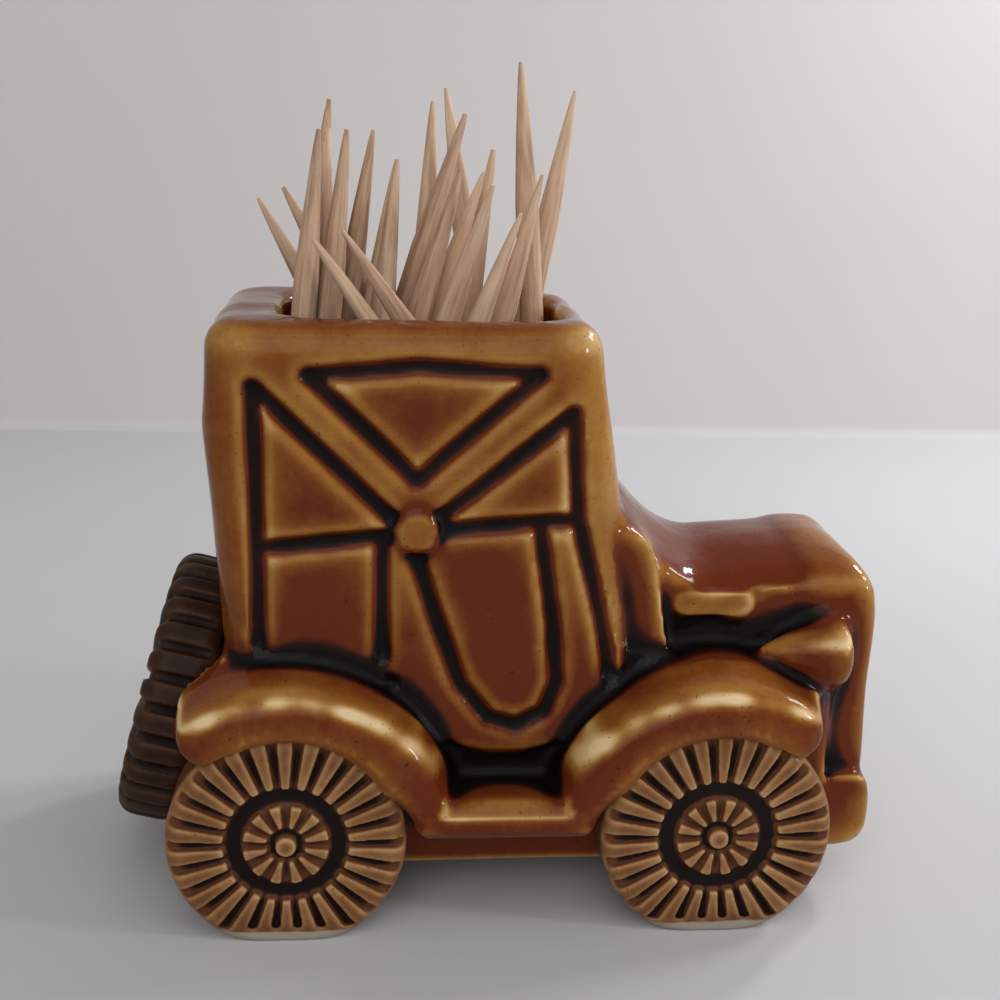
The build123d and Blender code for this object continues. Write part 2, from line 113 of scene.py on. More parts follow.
class Wire:
    """One shader socket, with arithmetic that adds Math nodes."""

    def __init__(self, sheet: "ShaderSheet", socket: bpy.types.NodeSocket) -> None:
        """Hold a socket and the sheet that it is on."""
        self.sheet = sheet
        self.socket = socket

    def _math(self, operation: str, *values: Any) -> "Wire":
        """Add one Math node.

        Args:
            operation: The node's operation.
            values: Its inputs, wires or numbers.

        Returns:
            The node's result.
        """
        return self.sheet.add("ShaderNodeMath", {"operation": operation}, dict(enumerate(values)))

    def __add__(self, other: Any) -> "Wire":
        """Sum."""
        return self._math("ADD", self, other)

    __radd__ = __add__

    def __sub__(self, other: Any) -> "Wire":
        """Difference."""
        return self._math("SUBTRACT", self, other)

    def __rsub__(self, other: Any) -> "Wire":
        """Difference from a number."""
        return self._math("SUBTRACT", other, self)

    def __mul__(self, other: Any) -> "Wire":
        """Product."""
        return self._math("MULTIPLY", self, other)

    __rmul__ = __mul__

    def __truediv__(self, other: Any) -> "Wire":
        """Quotient."""
        return self._math("DIVIDE", self, other)

    def between(self, low: Number, high: Number) -> "Wire":
        """Rise smoothly from 0 at low to 1 at high.

        Args:
            low: Where the rise starts.
            high: Where it ends.

        Returns:
            The smooth step.
        """
        settings = {"interpolation_type": "SMOOTHSTEP"}
        sockets = {"Value": self, "From Min": low, "From Max": high}
        return self.sheet.add("ShaderNodeMapRange", settings, sockets)

    def at_least(self, other: Any) -> "Wire":
        """The larger of two values."""
        return self._math("MAXIMUM", self, other)


class ShaderSheet:
    """The node tree of one material."""

    def __init__(self, name: str) -> None:
        """Start a material with only its output.

        Args:
            name: The material's name.
        """
        self.material = bpy.data.materials.new(name)
        self.material.use_nodes = True
        self.tree = self.material.node_tree
        self.tree.nodes.clear()
        self.output = self.tree.nodes.new("ShaderNodeOutputMaterial")

    def add(
        self,
        kind: str,
        settings: Optional[Dict[str, Any]] = None,
        sockets: Optional[Dict[Any, Any]] = None,
        result: Union[int, str] = 0,
    ) -> Wire:
        """Add a node.

        Args:
            kind: The node's type.
            settings: Its own settings, a ramp's stops under "stops".
            sockets: Values or wires for its inputs, by name or number.
            result: The output to return.

        Returns:
            The chosen output as a wire.
        """
        node = self.tree.nodes.new(kind)
        for key, value in (settings or {}).items():
            if key == "stops":
                self._stops(node.color_ramp, value)
            else:
                setattr(node, key, value)
        for key, value in (sockets or {}).items():
            socket = node.inputs[key]
            if isinstance(value, Wire):
                self.tree.links.new(value.socket, socket)
            else:
                socket.default_value = value
        return Wire(self, node.outputs[result])

    @staticmethod
    def _stops(ramp: bpy.types.ColorRamp, stops: Sequence[Tuple[float, Colour]]) -> None:
        """Set a ramp's stops.

        Args:
            ramp: The ramp.
            stops: Place and colour of each stop, in order.
        """
        while len(ramp.elements) < len(stops):
            ramp.elements.new(1.0)
        for element, (place, colour) in zip(ramp.elements, stops):
            element.position = place
            element.color = colour

    def field(self, name: str) -> Wire:
        """Read a number that the mesh keeps at each point."""
        return self.add("ShaderNodeAttribute", {"attribute_name": name}, None, "Fac")

    def place(self) -> Wire:
        """Read the place on the object."""
        return self.add("ShaderNodeTexCoord", None, None, "Object")

    def height(self, where: Wire) -> Wire:
        """Take the height, in metres, out of a place."""
        return self.add("ShaderNodeSeparateXYZ", None, {"Vector": where}, "Z")

    def ramp(self, share: Wire, stops: Sequence[Tuple[float, Colour]]) -> Wire:
        """Turn a share into a colour between stops."""
        return self.add("ShaderNodeValToRGB", {"stops": stops}, {"Fac": share}, "Color")

    def noise(self, where: Wire, scale: float, detail: float = 2.0, rough: float = 0.5) -> Wire:
        """Add cloudy noise.

        Args:
            where: The place to read.
            scale: Clouds in a metre.
            detail: Octaves.
            rough: Share of the fine octaves.

        Returns:
            Noise from 0 to 1.
        """
        sockets = {"Vector": where, "Scale": scale, "Detail": detail, "Roughness": rough}
        return self.add("ShaderNodeTexNoise", None, sockets, "Fac")

    def mix(self, share: Any, first: Any, second: Any) -> Wire:
        """Mix two colours.

        Args:
            share: How much of the second.
            first: A colour.
            second: A colour.

        Returns:
            The mixed colour.
        """
        settings = {"data_type": "RGBA", "blend_type": "MIX", "clamp_factor": True}
        sockets = {MIX_SHARE: share, MIX_FIRST: first, MIX_SECOND: second}
        return self.add("ShaderNodeMix", settings, sockets, MIX_COLOUR)

    def bump(self, height: Wire, depth: float) -> Wire:
        """Turn a height into a normal.

        Args:
            height: Height from 0 to 1.
            depth: Metres that 1 stands for.

        Returns:
            The bumped normal.
        """
        sockets = {"Strength": 1.0, "Distance": depth, "Height": height}
        return self.add("ShaderNodeBump", None, sockets, "Normal")

    def close(self, **sockets: Any) -> bpy.types.Material:
        """Add the surface shader and finish the material.

        Args:
            sockets: The surface's values or wires, with _ for a space.

        Returns:
            The finished material.
        """
        named = {key.replace("_", " "): value for key, value in sockets.items()}
        shader = self.add("ShaderNodeBsdfPrincipled", None, named, "BSDF")
        self.tree.links.new(shader.socket, self.output.inputs["Surface"])
        return self.material


@dataclass(frozen=True)
class GlazeFinish:
    """Brown glaze that breaks honey-coloured over edges and pools black in hollows."""

    name: str
    sheen: Sheen
    bare: Colour = tone(226, 198, 152)
    pale: Colour = tone(202, 165, 110)
    honey: Colour = tone(160, 112, 52)
    amber: Colour = tone(130, 75, 29)
    rust: Colour = tone(101, 42, 18)
    deep: Colour = tone(44, 17, 11)
    pool: Colour = tone(12, 7, 7)
    clay: Colour = tone(158, 147, 134)
    clay_top: float = 0.9
    clay_rough: float = 0.75
    brink_wave: float = 0.6
    full_thin: float = 0.8
    edge_thins: float = 0.37
    lip_thins: float = 3.2
    mottling: float = 0.16
    clouding: float = 0.14
    graining: float = 0.07
    low_run: float = 0.12
    run_heights: Tuple[float, float] = (8.0, 40.0)
    grit_share: float = 0.6
    crease: float = 1.3
    pool_starts: float = 0.1
    pool_full: float = 0.46
    groove_depths: Tuple[float, float] = (0.015, 0.06)
    groove_dulls: float = 0.4
    mottle_dulls: float = 0.06
    ripple_depth: float = 0.09

    def material(self) -> bpy.types.Material:
        """Make the glaze's material.

        Returns:
            The material.
        """
        sheet = ShaderSheet(self.name)
        where = sheet.place()
        height = sheet.height(where) / MM
        mottle = sheet.noise(where, scale=300.0, detail=4.0, rough=0.6)
        cloud = sheet.noise(where, scale=80.0)
        grain = sheet.noise(where, scale=1700.0, rough=0.6)
        drift = (mottle - 0.5) * self.mottling + (cloud - 0.5) * self.clouding
        drift = drift + (grain - 0.5) * self.graining
        lip = sheet.field(Relief.LIP.value)
        edge = sheet.field(Relief.EDGE.value)
        run = (1 - height.between(*self.run_heights)) * self.low_run
        thin = edge * self.edge_thins + lip * self.lip_thins + drift - run
        stops = (
            (0.0, self.rust),
            (0.15, self.amber),
            (0.34, self.honey),
            (0.58, self.pale),
            (0.85, self.bare),
        )
        colour = sheet.ramp(thin / self.full_thin, stops)
        grit = sheet.noise(where, scale=2600.0, detail=1.0)
        colour = sheet.mix(grit.between(0.70, 0.77) * self.grit_share, colour, self.deep)
        sunk = (0 - sheet.field(Relief.POOL.value)).at_least(0 - edge * self.crease) + drift * 0.5
        pooled = (sunk - self.pool_starts) / (self.pool_full - self.pool_starts)
        colour = sheet.mix(pooled.between(0.0, 0.55), colour, self.deep)
        colour = sheet.mix(pooled.between(0.35, 1.0), colour, self.pool)
        brink = height + (mottle - 0.5) * self.brink_wave
        dry = 1 - brink.between(self.clay_top - 0.15, self.clay_top + 0.1)
        colour = sheet.mix(dry, colour, self.clay)
        groove = (0 - lip).between(*self.groove_depths) * self.groove_dulls
        wet = groove + mottle * self.mottle_dulls + (self.sheen.value - self.clay_rough)
        ripple = sheet.noise(where, scale=380.0, detail=3.0)
        return sheet.close(
            Base_Color=colour,
            Roughness=(1 - dry) * wet + self.clay_rough,
            IOR=1.42,
            Specular_IOR_Level=0.17,
            Normal=sheet.bump(ripple, self.ripple_depth * MM),
        )


BODY_GLAZE = GlazeFinish("honey_glaze", Sheen.WET)
WHEEL_GLAZE = GlazeFinish(
    "wheel_glaze",
    Sheen.SATIN,
    bare=tone(208, 175, 132),
    pale=tone(184, 147, 102),
    honey=tone(154, 112, 71),
    amber=tone(122, 81, 50),
    rust=tone(97, 58, 36),
    deep=tone(74, 42, 28),
    pool=tone(24, 14, 11),
    mottling=0.34,
    low_run=0.0,
    crease=0.2,
    pool_starts=0.17,
    pool_full=0.46,
)
# Painted shade: the spare wheel's glaze is the wheels' kind of glaze, darkened to stand for the cabin's
# shadow on it.
SHADED_SPARE_GLAZE = GlazeFinish(
    "shaded_spare_glaze",
    Sheen.DULL,
    bare=tone(132, 98, 64),
    pale=tone(104, 72, 45),
    honey=tone(78, 51, 31),
    amber=tone(56, 35, 22),
    rust=tone(40, 23, 15),
    deep=tone(20, 11, 8),
    pool=tone(8, 6, 5),
    mottling=0.34,
    low_run=0.0,
    pool_starts=0.12,
    pool_full=0.6,
)


@dataclass(frozen=True)
class PickFinish:
    """Pale birch with long fibres."""

    name: str = "birch"
    light: Colour = tone(232, 206, 178)
    middle: Colour = tone(198, 165, 136)
    dark: Colour = tone(128, 92, 69)
    stretch: float = 0.05
    rough: float = 0.78
    fibre_shine: float = 0.15
    fibre_depth: float = 0.05

    def material(self) -> bpy.types.Material:
        """Make the wood's material.

        Returns:
            The material.
        """
        sheet = ShaderSheet(self.name)
        grain = sheet.add("ShaderNodeAttribute", {"attribute_name": "grain"}, None, "Vector")
        sockets = {"Vector": grain, "Scale": (1.0, 1.0, self.stretch)}
        long_way = sheet.add("ShaderNodeMapping", None, sockets)
        fibre = sheet.noise(long_way, scale=3200.0, detail=3.0, rough=0.6)
        band = sheet.noise(long_way, scale=900.0)
        # The shade field adds each pick's random tone and its painted shade towards the foot.
        tint = fibre * 0.5 + band * 0.5 + sheet.field("shade")
        stops = ((0.2, self.dark), (0.5, self.middle), (0.8, self.light))
        return sheet.close(
            Base_Color=sheet.ramp(tint, stops),
            Roughness=self.rough - fibre * self.fibre_shine,
            Specular_IOR_Level=0.3,
            Normal=sheet.bump(fibre, self.fibre_depth * MM),
        )


@dataclass(frozen=True)
class StageFinish:
    """Matt pale paper for the table and the wall."""

    name: str = "pale_paper"
    table: Colour = tone(199, 199, 200)
    wall: Colour = tone(217, 212, 210)
    wall_starts: float = 2.5
    clouds: float = 0.08

    def material(self) -> bpy.types.Material:
        """Make the paper's material.

        Returns:
            The material.
        """
        sheet = ShaderSheet(self.name)
        where = sheet.place()
        cloud = sheet.noise(where, scale=14.0, detail=4.0)
        rise = sheet.height(where).between(0.0, self.wall_starts * MM)
        base = sheet.mix(rise, self.table, self.wall)
        darker = sheet.mix(self.clouds, base, tone(0, 0, 0))
        colour = sheet.mix(cloud, base, darker)
        return sheet.close(Base_Color=colour, Roughness=0.75, Specular_IOR_Level=0.2)


class Bench:
    """Steps that the pieces share: selection, copies, modifiers and fields."""

    @staticmethod
    def alone(piece: bpy.types.Object) -> None:
        """Select one piece and nothing else.

        Args:
            piece: The piece.
        """
        bpy.ops.object.select_all(action="DESELECT")
        piece.select_set(True)
        bpy.context.view_layer.objects.active = piece

    @staticmethod
    def copy_node(node: str, label: str) -> bpy.types.Object:
        """Copy a CAD node as a new piece with its doubles merged.

        Args:
            node: The node.
            label: The piece's name.

        Returns:
            The new piece.
        """
        mesh = frame["nodes"][node].data.copy()
        mesh.materials.clear()
        piece = bpy.data.objects.new(label, mesh)
        bpy.context.scene.collection.objects.link(piece)
        Bench.alone(piece)
        bpy.ops.object.mode_set(mode="EDIT")
        bpy.ops.mesh.select_all(action="SELECT")
        bpy.ops.mesh.remove_doubles(threshold=1e-6)
        bpy.ops.object.mode_set(mode="OBJECT")
        return piece

    @staticmethod
    def pick_edges(piece: bpy.types.Object, test: Callable[[Vector, Vector], bool]) -> None:
        """Select edges by where their two ends are, and leave the piece in edit mode.

        Args:
            piece: The piece.
            test: Tells for two ends if their edge is selected.
        """
        Bench.alone(piece)
        bpy.ops.object.mode_set(mode="EDIT")
        bpy.ops.mesh.select_all(action="DESELECT")
        bpy.ops.object.mode_set(mode="OBJECT")
        for edge in piece.data.edges:
            first, second = (piece.data.vertices[index].co for index in edge.vertices)
            edge.select = test(first, second)
        bpy.ops.object.mode_set(mode="EDIT")
        bpy.ops.mesh.select_mode(type="EDGE")

    @staticmethod
    def apply(piece: bpy.types.Object, kind: str, **settings: Any) -> None:
        """Add a modifier and apply it.

        Args:
            piece: The piece.
            kind: The modifier's type.
            settings: Its settings.
        """
        Bench.alone(piece)
        modifier = piece.modifiers.new(kind.lower(), kind)
        for key, value in settings.items():
            setattr(modifier, key, value)
        bpy.ops.object.modifier_apply(modifier=modifier.name)

    @staticmethod
    def points(piece: bpy.types.Object) -> np.ndarray:
        """Read a piece's points.

        Args:
            piece: The piece.

        Returns:
            One row of metres for each point.
        """
        rows = np.empty(len(piece.data.vertices) * 3, np.float32)
        piece.data.vertices.foreach_get("co", rows)
        return rows.reshape(-1, 3).astype(float)

    @staticmethod
    def put(piece: bpy.types.Object, rows: np.ndarray) -> None:
        """Move a piece's points.

        Args:
            piece: The piece.
            rows: Where each point goes.
        """
        piece.data.vertices.foreach_set("co", rows.astype(np.float32).ravel())
        piece.data.update()

    @staticmethod
    def normals(piece: bpy.types.Object) -> np.ndarray:
        """Read the normal at each point.

        Args:
            piece: The piece.

        Returns:
            One row for each point.
        """
        rows = np.empty(len(piece.data.vertices) * 3, np.float32)
        piece.data.vertex_normals.foreach_get("vector", rows)
        return rows.reshape(-1, 3).astype(float)

    @staticmethod
    def keep(piece: bpy.types.Object, name: str, values: np.ndarray) -> None:
        """Keep a number at each point.

        Args:
            piece: The piece.
            name: The field's name.
            values: One number for each point.
        """
        field = piece.data.attributes.new(name, "FLOAT", "POINT")
        field.data.foreach_set("value", values.astype(np.float32))

    @staticmethod
    def passes(span: float, voxel: float) -> int:
        """Count the smoothing passes that blur over a span.

        Args:
            span: Millimetres to blur over.
            voxel: Millimetres between the mesh's points.

        Returns:
            The passes.
        """
        return max(1, round(4 * (span / voxel) ** 2))

    @staticmethod
    def relief(piece: bpy.types.Object, passes: int) -> np.ndarray:
        """Measure how far each point stands out of its smoothed surroundings.

        Args:
            piece: The piece.
            passes: Smoothing passes.

        Returns:
            Millimetres, above 0 on ridges and below 0 in hollows.
        """
        twin = bpy.data.objects.new("twin", piece.data.copy())
        bpy.context.scene.collection.objects.link(twin)
        Bench.apply(twin, "SMOOTH", factor=0.5, iterations=passes)
        out = ((Bench.points(piece) - Bench.points(twin)) * Bench.normals(piece)).sum(1) / MM
        twin_mesh = twin.data
        bpy.data.objects.remove(twin)
        bpy.data.meshes.remove(twin_mesh)
        return out

    @staticmethod
    def smooth_shading(piece: bpy.types.Object) -> None:
        """Shade a piece smooth all over."""
        Bench.alone(piece)
        bpy.ops.object.shade_smooth()


class Along(Enum):
    """Measures of a point: millimetres, degrees of lean round a hub, and parts of its normal."""

    LENGTH = "length"
    WIDTH = "width"
    SIDE = "side"
    HEIGHT = "height"
    HUB = "hub"
    LEAN = "lean"
    BOSS = "boss"
    COWL = "cowl"
    UP = "up"
    AHEAD = "ahead"


Marks = Dict[Along, np.ndarray]


@dataclass(frozen=True)
class Fade:
    """A share that goes from 0 at a start to 1 over a distance, or backwards over one below 0."""

    along: Along
    start: float
    over: float

    def share(self, marks: Marks) -> np.ndarray:
        """Give the share at each point."""
        return np.clip((marks[self.along] - self.start) / self.over, 0, 1)


class Zone:
    """A part of the body: a top value times the fades that bound it."""

    def __init__(self, top: float, *fades: Fade) -> None:
        """Hold the top value and the fades."""
        self.top = top
        self.fades = fades

    def share(self, marks: Marks) -> np.ndarray:
        """Give the zone's value at each point.

        Args:
            marks: The points' measures.

        Returns:
            0 outside the zone, up to its top value well inside it.
        """
        share = np.full(len(marks[Along.LENGTH]), self.top)
        for fade in self.fades:
            share = share * fade.share(marks)
        return share


@dataclass
class GlazedPiece:
    """A piece of the fired holder, cut from its CAD node and softened under glaze."""

    node: str
    label: str
    finish: bpy.types.Material
    voxel: float = 0.36
    soft: float = 0.42
    spans: Tuple[float, float, float] = (0.6, 2.1, 3.2)
    gain: float = 1.0

    def build(self) -> bpy.types.Object:
        """Make the piece.

        Returns:
            The finished piece, riding on the holder.
        """
        piece = Bench.copy_node(self.node, self.label)
        Bench.apply(piece, "REMESH", mode="VOXEL", voxel_size=self.voxel * MM, adaptivity=0.0)
        Bench.apply(piece, "SMOOTH", factor=0.5, iterations=Bench.passes(self.soft, self.voxel))
        self.shape(piece)
        self.measure(piece)
        self.thin_out(piece)
        Bench.smooth_shading(piece)
        piece.data.materials.append(self.finish)
        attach(piece, HOLDER)
        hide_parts(self.node)
        piece.data.calc_loop_triangles()
        log.info("%s: %d triangles", self.label, len(piece.data.loop_triangles))
        return piece

    def shape(self, piece: bpy.types.Object) -> None:
        """Shape the softened mesh further; a plain piece needs nothing."""

    def measure(self, piece: bpy.types.Object) -> None:
        """Keep the relief fields that the glaze reads.

        Args:
            piece: The piece.
        """
        for relief, span in zip(Relief, self.spans):
            values = Bench.relief(piece, Bench.passes(span, self.voxel)) * self.gain
            Bench.keep(piece, relief.value, self.run_down(piece, relief, values))

    def run_down(self, piece: bpy.types.Object, relief: Relief, values: np.ndarray) -> np.ndarray:
        """Change a relief field where the glaze ran; on a plain piece it stayed in place.

        Args:
            piece: The piece, not used here.
            relief: The field, not used here.
            values: Its values.

        Returns:
            The changed values.
        """
        return values

    def thin_out(self, piece: bpy.types.Object) -> None:
        """Use fewer faces where nothing is seen; a plain piece keeps all of its faces."""


@dataclass
class CarBody(GlazedPiece):
    """The cast body, with a coarser mesh in its hollow, under it and behind the wheels."""

    hub_at: Tuple[float, float] = (18.75, 9.1)
    cowl_at: Tuple[float, float, float] = (13.8, 11.0, 35.0)
    boss_at: Tuple[float, float] = (-7.8, 35.5)
    boss_side: float = 10.5
    boss_radius: float = 2.1
    boss_reach: float = 2.3
    boss_flat: float = 1.2
    boss_drop: float = 0.9
    boss_round: float = 0.4
    boss_out: float = 11.5
    boss_thin: float = 0.5
    boss_thin_radius: float = 1.5
    boss_ring: float = 2.3
    boss_ring_width: float = 0.45
    boss_ring_depth: float = 0.16
    wing_hang: float = 1.7
    lip_round: float = 0.5
    crown_round: float = 1.5
    shell_round: float = 1.5
    cowl_round: float = 1.3
    wing_round: float = 1.2
    bumper_round: float = 1.8
    dent_seed: int = 7
    dent_depth: float = 0.16
    dent_waves: int = 8
    broad_dents: Tuple[float, float] = (6.0, 12.0)
    fine_dents: Tuple[float, float] = (2.6, 4.6)
    # The crests' pale streak is partly thin glaze and partly a painted highlight.
    crest_thin: float = 1.9
    crest_up: float = 0.55
    crest_width: float = 0.17
    pillar_at: float = 14.0
    pillar_width: float = 1.2
    hollow_limit: float = -0.05
    keep_share: float = 0.12
    cabin_room: Tuple[float, float, float] = (-23.2, 10.8, 49.5)
    low_room: Tuple[float, float] = (-21.5, 9.9)
    nose_room: Tuple[float, float, float] = (26.4, 8.0, 28.6)
    room_meets: Tuple[float, float] = (26.0, 26.5)
    floor: float = 6.4
    front_low: Tuple[float, float] = (10.6, 22.5)
    front_top: Tuple[float, float] = (5.4, 53.0)
    underside: Tuple[float, float] = (4.5, 11.0)
    behind_wheel: Tuple[float, float] = (9.0, 12.4)

    lips: Zone = Zone(
        1.0,
        Fade(Along.HUB, 13.8, -2.2),
        Fade(Along.HUB, 9.5, SHARP),
        Fade(Along.SIDE, 17.1, 0.4),
        Fade(Along.LEAN, -80.0, 20.0),
        Fade(Along.LEAN, 62.0, -6.0),
    )
    crowns: Zone = Zone(
        1.0,
        Fade(Along.HUB, 12.0, 1.2),
        Fade(Along.HUB, 17.4, -0.8),
        Fade(Along.SIDE, 14.2, 1.4),
        Fade(Along.LEAN, -78.0, 12.0),
    )
    shell: Zone = Zone(1.0, Fade(Along.LENGTH, 25.5, 3.0), Fade(Along.HEIGHT, 13.0, 3.0))
    cowl: Zone = Zone(1.0, Fade(Along.COWL, 6.16, -4.4))
    rear_ends: Zone = Zone(
        1.0,
        Fade(Along.LENGTH, -22.5, -3.0),
        Fade(Along.SIDE, 11.9, 1.0),
        Fade(Along.HEIGHT, 26.0, -1.5),
        Fade(Along.HEIGHT, 12.5, 1.0),
    )
    front_ends: Zone = Zone(
        1.0,
        Fade(Along.LENGTH, 22.5, 3.0),
        Fade(Along.SIDE, 11.9, 1.0),
        Fade(Along.HEIGHT, 21.0, -1.5),
        Fade(Along.HEIGHT, 12.5, 1.0),
    )
    bumper: Zone = Zone(1.0, Fade(Along.LENGTH, 27.5, 1.5), Fade(Along.HEIGHT, 11.5, -1.5))
    boss: Zone = Zone(1.0, Fade(Along.BOSS, 2.6, -1.0), Fade(Along.SIDE, 10.5, SHARP))
    bonnet_dents: Zone = Zone(
        0.2,
        Fade(Along.LENGTH, 14.0, 2.0),
        Fade(Along.LENGTH, 33.0, -2.0),
        Fade(Along.SIDE, 6.0, 2.0),
        Fade(Along.SIDE, 13.2, -1.0),
        Fade(Along.HEIGHT, 23.0, 2.0),
        Fade(Along.HEIGHT, 30.5, -2.0),
    )
    drained_top: Zone = Zone(
        0.7,
        Fade(Along.LENGTH, 9.0, 2.0),
        Fade(Along.HEIGHT, 27.5, 2.0),
        Fade(Along.UP, 0.2, 0.2),
        Fade(Along.SIDE, 10.5, -SHARP),
    )
    thick_rim: Zone = Zone(0.3, Fade(Along.HEIGHT, 50.0, 1.5), Fade(Along.UP, 0.75, 0.2))
    # Painted shade: the bonnet's upward-facing top is painted darker.
    thick_bonnet: Zone = Zone(
        0.3,
        Fade(Along.LENGTH, 12.0, 3.0),
        Fade(Along.LENGTH, 28.5, -2.0),
        Fade(Along.HEIGHT, 28.5, 1.5),
        Fade(Along.UP, 0.7, 0.2),
    )
    wings: Zone = Zone(1.0, Fade(Along.SIDE, 12.7, 0.6), Fade(Along.HEIGHT, 28.0, -3.0))
    wing_hold: Zone = Zone(1.0, Fade(Along.UP, -0.05, 1.0))
    wing_tops: Zone = Zone(0.3, Fade(Along.UP, 0.7, 0.2))
    wing_faces: Zone = Zone(0.5, Fade(Along.UP, 0.4, -0.25))
    thin_shell: Zone = Zone(
        0.18,
        Fade(Along.LENGTH, 27.5, 2.0),
        Fade(Along.HEIGHT, 14.0, 3.0),
        Fade(Along.AHEAD, 0.95, -0.2),
    )
    thin_bumper: Zone = Zone(0.4, Fade(Along.LENGTH, 28.5, 1.5), Fade(Along.HEIGHT, 11.0, -2.0))
    thin_pillar: Zone = Zone(
        0.55,
        Fade(Along.SIDE, 9.5, 1.0),
        Fade(Along.HEIGHT, 23.0, 2.0),
        Fade(Along.HEIGHT, 37.0, -2.0),
    )
    # Painted light: the cabin's forward-facing corners are painted paler, where the light from the right
    # falls on them.
    thin_corner: Zone = Zone(
        0.45,
        Fade(Along.SIDE, 9.5, 1.0),
        Fade(Along.HEIGHT, 23.0, 2.0),
        Fade(Along.AHEAD, 0.0, 0.625),
        Fade(Along.LENGTH, 12.0, -2.0),
        Fade(Along.LENGTH, 2.0, SHARP),
    )
    thin_strakes: Zone = Zone(
        0.45,
        Fade(Along.LENGTH, 14.5, 1.0),
        Fade(Along.LENGTH, 24.0, -1.0),
        Fade(Along.SIDE, 9.6, SHARP),
        Fade(Along.HEIGHT, 25.8, 0.8),
        Fade(Along.HEIGHT, 29.5, -0.8),
    )

    def marks(self, piece: bpy.types.Object) -> Marks:
        """Take the measures that the zones are given in.

        Args:
            piece: The piece.

        Returns:
            Each measure, with a number for every point.
        """
        x, y, z = (Bench.points(piece) / MM).T
        side = np.abs(y)
        normals = Bench.normals(piece).T
        past_hub = np.abs(x) - self.hub_at[0]
        over_hub = z - self.hub_at[1]
        cowl_x, cowl_side, cowl_z = self.cowl_at
        return {
            Along.LENGTH: x,
            Along.WIDTH: y,
            Along.SIDE: side,
            Along.HEIGHT: z,
            Along.HUB: np.hypot(past_hub, over_hub),
            Along.LEAN: np.degrees(np.arctan2(past_hub, over_hub)),
            Along.BOSS: np.hypot(x - self.boss_at[0], z - self.boss_at[1]),
            Along.COWL: np.sqrt((x - cowl_x) ** 2 + (side - cowl_side) ** 2 + (z - cowl_z) ** 2),
            Along.UP: normals[2],
            Along.AHEAD: normals[0],
        }

    def shape(self, piece: bpy.types.Object) -> None:
        """Shape the softened body as a worn mould and a thick glaze leave it.

        Args:
            piece: The piece.
        """
        self.hang_wings(piece)
        self.round_parts(piece)
        self.fill_boss(piece)
        self.dent(piece)

    def hang_wings(self, piece: bpy.types.Object) -> None:
        """Draw the wings' outer lips down in front of the wheels, and round the crowns.

        Args:
            piece: The piece.
        """
        rows = Bench.points(piece)
        marks = self.marks(piece)
        share = self.lips.share(marks)
        x, _, z = (rows / MM).T
        across = x - np.sign(x) * self.hub_at[0]
        outward = np.stack((across, np.zeros_like(x), z - self.hub_at[1]), 1) / marks[Along.HUB][:, None]
        Bench.put(piece, rows - outward * (share * self.wing_hang * MM)[:, None])
        self.round_off(piece, "lips", np.clip(share * 2, 0, 1), self.lip_round)
        self.round_off(piece, "crowns", self.crowns.share(marks), self.crown_round)

    def round_parts(self, piece: bpy.types.Object) -> None:
        """Round the radiator shell, the cowl band's top, the wings' ends and the bumper.

        Args:
            piece: The piece.
        """
        marks = self.marks(piece)
        ends = self.rear_ends.share(marks) + self.front_ends.share(marks)
        self.round_off(piece, "shell", self.shell.share(marks), self.shell_round)
        self.round_off(piece, "cowl", self.cowl.share(marks), self.cowl_round)
        self.round_off(piece, "wing_ends", ends, self.wing_round)
        self.round_off(piece, "bumper", self.bumper.share(marks), self.bumper_round)

    def fill_boss(self, piece: bpy.types.Object) -> None:
        """Fill the door bosses up to round domes.

        Args:
            piece: The piece.
        """
        rows = Bench.points(piece)
        marks = self.marks(piece)
        near = marks[Along.BOSS]
        for hand in (-1, 1):
            out = marks[Along.WIDTH] * hand
            dome = (near < self.boss_reach) & (out > self.boss_side)
            top = out[dome & (near < self.boss_flat)].max()
            curve = top - self.boss_drop * (near[dome] / self.boss_radius) ** 4
            rows[dome, 1] = hand * MM * np.maximum(out[dome], curve)
        Bench.put(piece, rows)
        self.round_off(piece, "boss", self.boss.share(marks), self.boss_round)

    def dent(self, piece: bpy.types.Object) -> None:
        """Press shallow dents into the surface, deeper on the bonnet's sides.

        Args:
            piece: The piece.
        """
        rows = Bench.points(piece)
        rng = np.random.default_rng(self.dent_seed)
        waves = []
        for low, high in (self.broad_dents, self.fine_dents):
            wave = np.zeros(len(rows))
            for turn in rng.normal(size=(self.dent_waves, 3)):
                along = (rows / MM) @ (turn / np.linalg.norm(turn))
                phase = along * 2 * math.pi / rng.uniform(low, high)
                wave += np.sin(phase + rng.uniform(0, 2 * math.pi)) / 3
            waves.append((1 + np.clip(wave, -1, 1)) / 2)
        broad, fine = waves
        depth = self.dent_depth * broad + self.bonnet_dents.share(self.marks(piece)) * fine
        Bench.put(piece, rows - Bench.normals(piece) * (depth * MM)[:, None])

    def round_off(self, piece: bpy.types.Object, name: str, weights: np.ndarray, span: float) -> None:
        """Smooth part of a piece more than the rest.

        Args:
            piece: The piece.
            name: The part's name.
            weights: How much each point takes part, 0 to 1.
            span: Millimetres to smooth over.
        """
        group = piece.vertex_groups.new(name=name)
        for level in range(1, 11):
            chosen = np.nonzero(np.ceil(weights * 10) == level)[0]
            if len(chosen):
                group.add(chosen.tolist(), level / 10, "REPLACE")
        passes = Bench.passes(span, self.voxel)
        Bench.apply(piece, "SMOOTH", factor=0.5, iterations=passes, vertex_group=name)
        piece.vertex_groups.clear()

